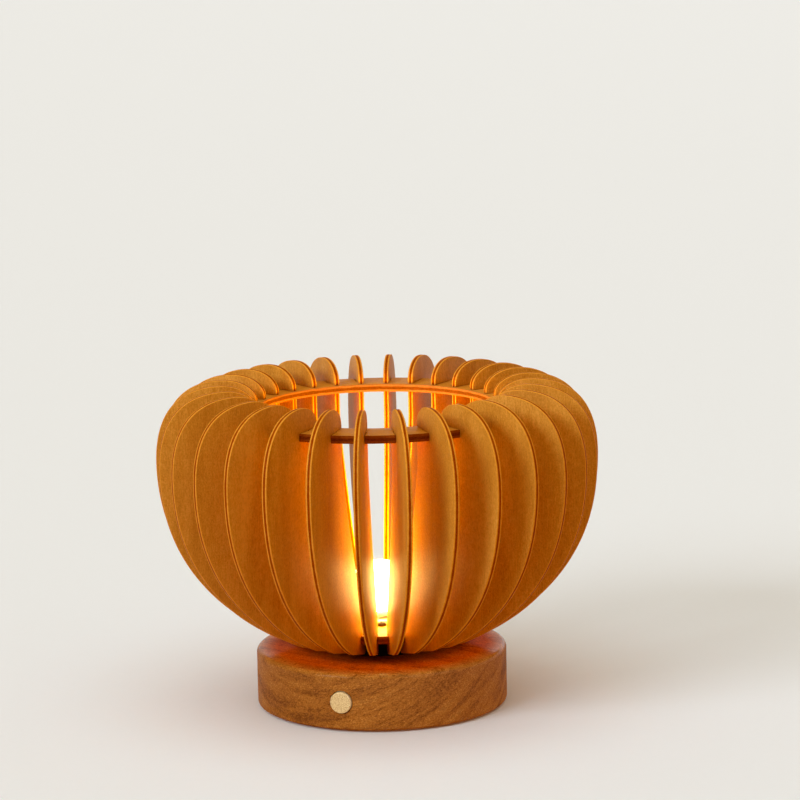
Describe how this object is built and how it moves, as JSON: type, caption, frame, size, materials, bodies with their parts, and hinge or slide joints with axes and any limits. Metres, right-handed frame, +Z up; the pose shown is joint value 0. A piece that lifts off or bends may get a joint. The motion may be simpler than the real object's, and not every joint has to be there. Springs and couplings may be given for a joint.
{
  "type": "table lamp",
  "caption": "Wooden table lamp: a bowl shade of radial plywood fins cross-lapped onto slotted discs, a frosted pin bulb and a round base with a push button.",
  "frame": {"origin": "middle of the lamp's underside, on the surface that it stands on", "axes": "+Z up along the lamp's axis; the push button faces -Y and the charge socket faces +Y"},
  "size_m": [0.1666, 0.1668, 0.1232],
  "materials": {
    "fin_wood": "satin plywood with laser darkened edges",
    "ring_wood": "satin plywood with laser darkened edges",
    "base_wood": "satin oiled solid wood",
    "button_cap": "matte cream",
    "black_plastic": "matte",
    "white_plastic": "satin",
    "led_board": "matte",
    "frosted_glass": "frosted",
    "dark_steel": "black zinc",
    "bright_steel": "satin",
    "pad_rubber": "matte",
    "green_board": "semi-gloss",
    "cell_foil": "satin foil",
    "red_sleeve": "semi-gloss",
    "black_sleeve": "semi-gloss"
  },
  "bodies": {
    "lamp": {"fin_01": "fin_wood", "fin_02": "fin_wood", "fin_03": "fin_wood", "fin_04": "fin_wood", "fin_05": "fin_wood", "fin_06": "fin_wood", "fin_07": "fin_wood", "fin_08": "fin_wood", "fin_09": "fin_wood", "fin_10": "fin_wood", "fin_11": "fin_wood", "fin_12": "fin_wood", "fin_13": "fin_wood", "fin_14": "fin_wood", "fin_15": "fin_wood", "fin_16": "fin_wood", "fin_17": "fin_wood", "fin_18": "fin_wood", "fin_19": "fin_wood", "fin_20": "fin_wood", "fin_21": "fin_wood", "fin_22": "fin_wood", "fin_23": "fin_wood", "fin_24": "fin_wood", "fin_25": "fin_wood", "fin_26": "fin_wood", "fin_27": "fin_wood", "fin_28": "fin_wood", "fin_29": "fin_wood", "fin_30": "fin_wood", "upper_ring": "ring_wood", "lower_plate": "ring_wood", "shade_spacer": "black_plastic", "shade_screw_1": "dark_steel", "shade_screw_2": "dark_steel", "shade_screw_3": "dark_steel", "lamp_socket": "white_plastic", "bulb_base": "white_plastic", "bulb_stem": "led_board", "bulb_globe": "frosted_glass", "base_body": "base_wood", "base_cover": "black_plastic", "anti_slip_pad": "pad_rubber", "cover_screw_1": "bright_steel", "cover_screw_2": "bright_steel", "cover_screw_3": "bright_steel", "cover_screw_4": "bright_steel", "switch_housing": "black_plastic", "circuit_board": "green_board", "board_screw_1": "bright_steel", "board_screw_2": "bright_steel", "battery_cell": "cell_foil", "charge_socket": "bright_steel", "lamp_lead_red": "red_sleeve", "lamp_lead_black": "black_sleeve", "battery_lead_red": "red_sleeve", "battery_lead_black": "black_sleeve"},
    "button": {"push_button": "button_cap", "switch_plunger": "black_plastic"}
  },
  "joints": [
    {"name": "button_press", "type": "slide", "parent": "lamp", "child": "button", "axis": [0, 1, 0], "range_m": [0, 0.0008], "stiffness_N_per_m": 2500, "springref_m": -0.0004}
  ]
}
